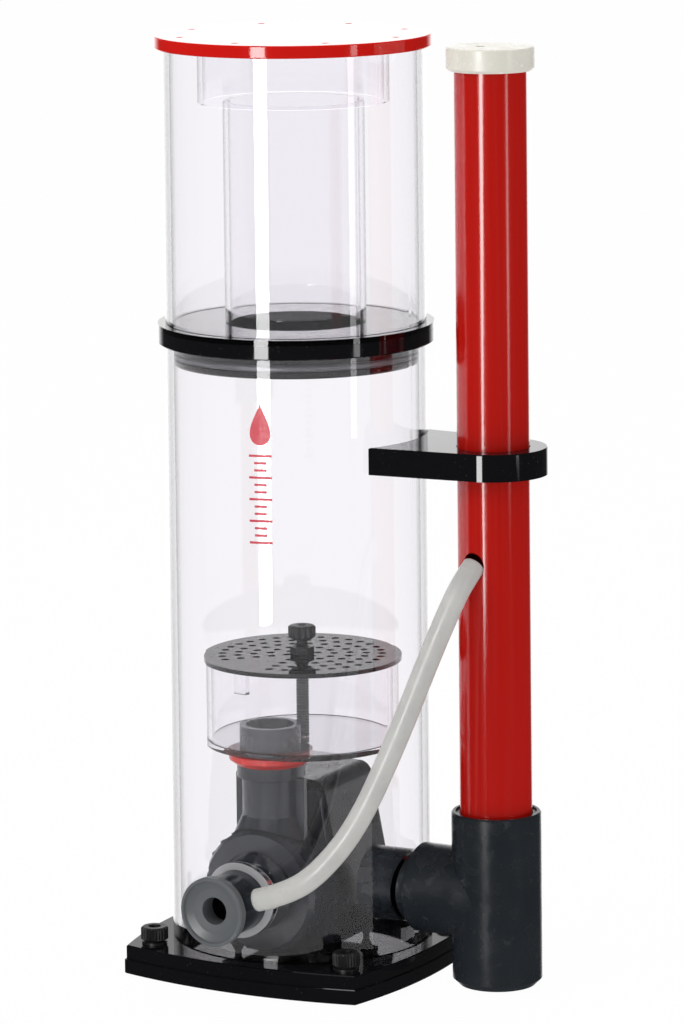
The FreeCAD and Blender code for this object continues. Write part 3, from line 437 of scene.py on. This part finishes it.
def make_hose(materials):
    """The white air hose, a mesh tube round its NURBS line."""
    curve = nurbs_curve("hose_line", HOSE_ROUTE)
    path = points_along(curve)
    hose = tube_along("air_line", path, HOSE_RADIUS, HOSE_SIDES)
    bpy.data.objects.remove(curve)
    finish_piece(hose, materials["white_silicone"])
    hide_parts("air_hose")
    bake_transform(hose)


# ---------------------------------------------------------------- rod, knob and thumbscrews
THREAD_PITCH = 1.6
THREAD_DEPTH = 0.6
ROD_SIDES = 40
KNOB_FLUTES = 14
FLUTE_DEPTH = 0.45
SCREW_RADIUS = 7.7
SCREW_SHANK = 2.8
SCREW_KNURLS = 26
KNURL_DEPTH = 0.35
RECESS_DEPTH = 4.5


def box_in_mm(node):
    """The lowest and highest corner of a CAD node's box."""
    low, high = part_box(node)
    return [part / MM for part in low], [part / MM for part in high]


def make_rod(centre):
    """The bubble plate's threaded rod, its thread drawn as a stack of ridges."""
    low, high = box_in_mm("plate_rod")
    crest = (high[0] - low[0]) / 2
    bottom, top = low[2], high[2]
    profile = [(crest - 0.7, bottom, PLAIN)]
    for turn in range(int((top - bottom - 1) / THREAD_PITCH)):
        start = bottom + 0.4 + turn * THREAD_PITCH
        profile += [(crest, start + 0.35, PLAIN), (crest, start + 0.6, PLAIN),
                    (crest - THREAD_DEPTH, start + 1.2, PLAIN)]
    profile.append((crest - THREAD_DEPTH, top, PLAIN))
    return lathed("threaded_rod", profile, centre, ROD_SIDES)


def make_knob(centre):
    """The fluted knob on top of the rod, with a shallow dimple."""
    low, high = box_in_mm("plate_knob")
    reach = (high[0] - low[0]) / 2
    bottom, top = low[2], high[2]
    profile = [
        (3.0, bottom, PLAIN),
        (reach - 1.8, bottom, PLAIN),
        (reach - 0.9, bottom + 0.9, PLAIN),
        (reach - 0.5, bottom + 1.5, RIPPLED),
        (reach - 0.5, top - 0.9, RIPPLED),
        (reach - 1.1, top - 0.2, PLAIN),
        (reach - 2.4, top, PLAIN),
        (2.6, top, PLAIN),
        (2.2, top - 1.2, PLAIN),
    ]
    return lathed("fluted_knob", profile, centre, 8 * KNOB_FLUTES,
                  ripple=lambda angle: FLUTE_DEPTH * math.cos(KNOB_FLUTES * angle))


def make_rod_and_knob(materials):
    """Both stand on the rod's own axis."""
    low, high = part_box("plate_rod")
    centre = ((low[0] + high[0]) / 2 / MM, (low[1] + high[1]) / 2 / MM)
    for piece, node in ((make_rod(centre), "plate_rod"), (make_knob(centre), "plate_knob")):
        finish_piece(piece, materials["black_nylon"])
        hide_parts(node)
        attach(piece, "root")


def make_thumbscrews(materials):
    """Knurled thumbscrews with a collar below. A round recess stands for the hexagon socket."""
    low, high = box_in_mm("base_thumbscrews")
    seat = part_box("body_flange")[1][2] / MM
    spread = high[0] - SCREW_RADIUS
    bottom, top = low[2], high[2]
    profile = [
        (SCREW_SHANK, bottom, PLAIN),
        (SCREW_SHANK, seat, PLAIN),
        (SCREW_RADIUS - 0.6, seat, PLAIN),
        (SCREW_RADIUS - 0.6, seat + 1.1, PLAIN),
        (SCREW_RADIUS - 1.9, seat + 1.3, PLAIN),
        (SCREW_RADIUS - 1.6, seat + 2.0, PLAIN),
        (SCREW_RADIUS - 0.4, seat + 2.6, RIPPLED),
        (SCREW_RADIUS - 0.4, top - 1.0, RIPPLED),
        (SCREW_RADIUS - 1.2, top, PLAIN),
        (3.6, top, PLAIN),
        (3.4, top - RECESS_DEPTH, PLAIN),
    ]
    corners = [(side_x, side_y) for side_x in (-1, 1) for side_y in (-1, 1)]
    for number, (side_x, side_y) in enumerate(corners):
        screw = lathed("thumbscrew_%d" % number, profile, (side_x * spread, side_y * spread),
                       6 * SCREW_KNURLS,
                       ripple=lambda angle: KNURL_DEPTH * math.cos(SCREW_KNURLS * angle))
        finish_piece(screw, materials["black_nylon"])
        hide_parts("base_thumbscrews")
        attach(screw, "root")


# ---------------------------------------------------------------- the level scale
SCALE_AZIMUTH = math.radians(-77)
SCALE_LIFT = 0.12
MARKS = 13
MARK_BOTTOM = 250
MARK_STEP = 4
MARK_THICK = 1.3
LONG_HALF = 6.5
SHORT_HALF = 3.5
MARK_PARTS = 6
DROP_POINTS = 40
DROP_MIDDLE = 316
DROP_HALF_HEIGHT = 11.5
DROP_WIDTH = 8.5
DROP_TAPER = 1.6
DROP_HEART = (0, 312)
INK_THICKNESS = 0.00008


def drop_outline():
    """The drop's outline as (along the tube's girth, height)."""
    outline = []
    for turn in angles_round(DROP_POINTS):
        width = DROP_WIDTH * math.sin(turn) * (math.sin(turn / 2) ** DROP_TAPER)
        outline.append((width, DROP_MIDDLE + DROP_HALF_HEIGHT * math.cos(turn)))
    return outline


def make_level_scale():
    """A plain level scale on the tube's front: a drop over a row of long and short marks."""
    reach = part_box("body_tube")[1][1] / MM + SCALE_LIFT
    bm = bmesh.new()

    def on_tube(along, height):
        angle = SCALE_AZIMUTH + along / reach
        return bm.verts.new((reach * math.cos(angle) * MM, reach * math.sin(angle) * MM,
                             height * MM))

    for mark in range(MARKS):
        half = LONG_HALF if mark % 3 == 0 else SHORT_HALF
        low = MARK_BOTTOM + MARK_STEP * mark
        high = low + MARK_THICK
        for part in range(MARK_PARTS):
            left = -half + 2 * half * part / MARK_PARTS
            right = -half + 2 * half * (part + 1) / MARK_PARTS
            bm.faces.new([on_tube(left, low), on_tube(right, low),
                          on_tube(right, high), on_tube(left, high)])
    outline = drop_outline()
    for first, second in zip(outline, outline[1:] + outline[:1]):
        bm.faces.new([on_tube(*DROP_HEART), on_tube(*first), on_tube(*second)])
    bmesh.ops.remove_doubles(bm, verts=bm.verts, dist=0.00001)
    scale = mesh_object("level_scale", bm, smooth=False)
    scale.modifiers.new("ink", "SOLIDIFY").thickness = INK_THICKNESS
    finish_piece(scale, scale_paint())
    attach(scale, "root")


# ---------------------------------------------------------------- studio
# Strengths of the white room: what gloss mirrors of the back wall, low and high up, and of
# the dark room in front; what lights the matt surfaces; and how far the floor lights itself.
WALL_LOW = 1.7
WALL_HIGH = 0.8
DARK_ROOM = 0.04
AMBIENT = 0.6
FLOOR_GLOW = 0.98
FLOOR_HALF = 6
FLOOR_DROP = 0.0005
# name: place, aim, size, power in watts, whether it shows in gloss only
LIGHTS = {
    "strip_left": ((0.03, -2.0, 0.62), (0.1, 0, 0.3), (0.42, 1.7), 36, True),
    "strip_right": ((1.9, -0.35, 0.7), (0, 0, 0.3), (0.2, 1.5), 4, True),
    "key": ((-0.9, -1.6, 1.6), (0, 0, 0.25), (1.0, 1.0), 12, False),
    "top": ((0.1, 0.1, 1.8), (0, 0, 0.2), (1.2, 1.2), 7, False),
}


def make_world():
    """White all round to look at; what gloss mirrors is bright behind and dark in front."""
    world = bpy.data.worlds.new("studio")
    bpy.context.scene.world = world
    world.use_nodes = True
    world.cycles.sampling_method = "NONE"
    tree = world.node_tree
    background = tree.nodes["Background"]
    background.inputs["Color"].default_value = (1, 1, 1, 1)

    def add(kind, **settings):
        node = tree.nodes.new(kind)
        for setting, amount in settings.items():
            setattr(node, setting, amount)
        return node

    def levels(source, low, high, start, end):
        """source from low..high mapped smoothly to start..end."""
        node = add("ShaderNodeMapRange", interpolation_type="SMOOTHSTEP")
        ends = {"From Min": low, "From Max": high, "To Min": start, "To Max": end}
        for socket, amount in ends.items():
            node.inputs[socket].default_value = amount
        tree.links.new(source, node.inputs["Value"])
        return node.outputs["Result"]

    def choose(share, first, second):
        """first and second mixed by a share; each is a socket or a number."""
        node = add("ShaderNodeMix", data_type="FLOAT")
        for index, source in ((0, share), (2, first), (3, second)):
            if isinstance(source, (int, float)):
                node.inputs[index].default_value = source
            else:
                tree.links.new(source, node.inputs[index])
        return node.outputs[0]

    direction = add("ShaderNodeTexCoord").outputs["Generated"]
    behind = add("ShaderNodeVectorMath", operation="DOT_PRODUCT")
    back_wall = (-math.sin(CAMERA_AZIMUTH), math.cos(CAMERA_AZIMUTH), 0)
    behind.inputs[1].default_value = back_wall
    tree.links.new(direction, behind.inputs[0])
    parts = add("ShaderNodeSeparateXYZ")
    tree.links.new(direction, parts.inputs[0])
    wall = levels(parts.outputs["Z"], low=0.12, high=0.24, start=WALL_LOW, end=WALL_HIGH)
    backward = levels(behind.outputs["Value"], low=0.8, high=0.97, start=0, end=1)
    mirrored = choose(backward, DARK_ROOM, wall)
    path = add("ShaderNodeLightPath")
    seen = choose(path.outputs["Glossy Depth"], 1.0, mirrored)
    strength = choose(path.outputs["Diffuse Depth"], seen, AMBIENT)
    tree.links.new(strength, background.inputs["Strength"])


def make_light(name, place, aim, size, power, mirrored):
    """A soft box that either lights the matt part of a surface or shows in its gloss."""
    data = bpy.data.lights.new(name, "AREA")
    data.shape = "RECTANGLE"
    data.size, data.size_y = size
    data.energy = power
    light = bpy.data.objects.new(name, data)
    bpy.context.scene.collection.objects.link(light)
    light.location = place
    gaze = Vector(aim) - Vector(place)
    light.rotation_euler = gaze.to_track_quat("-Z", "Y").to_euler()
    light.visible_camera = False
    light.visible_transmission = False
    light.visible_diffuse = not mirrored
    light.visible_glossy = mirrored


def make_floor():
    """A plain white table, lit from within so that only a soft contact shadow shows."""
    shader = Shader("studio_floor", (0.93, 0.93, 0.93), 0.5)
    shader.paint(shader.mix(shader.noise(3, 2), (0.92, 0.92, 0.925), (0.94, 0.94, 0.94)))
    glow = shader.add("ShaderNodeEmission")
    mixed = shader.add("ShaderNodeMixShader")
    mixed.inputs["Fac"].default_value = FLOOR_GLOW
    shader.link(shader.surface.outputs["BSDF"], mixed.inputs[1])
    shader.link(glow.outputs["Emission"], mixed.inputs[2])
    shader.link(mixed.outputs["Shader"], shader.output.inputs["Surface"])
    bm = bmesh.new()
    bmesh.ops.create_grid(bm, x_segments=1, y_segments=1, size=FLOOR_HALF)
    floor = mesh_object("studio_floor", bm, smooth=False)
    floor.location = (0, 0, -FLOOR_DROP)
    floor.data.materials.append(shader.material)
    floor.visible_glossy = False


def make_studio():
    make_world()
    make_floor()
    for name, setting in LIGHTS.items():
        make_light(name, *setting)


bpy.context.scene.view_settings.view_transform = "Standard"
make_camera()
materials = make_materials()
finish_nodes(materials)
make_hose(materials)
make_rod_and_knob(materials)
make_thumbscrews(materials)
make_level_scale()
make_studio()
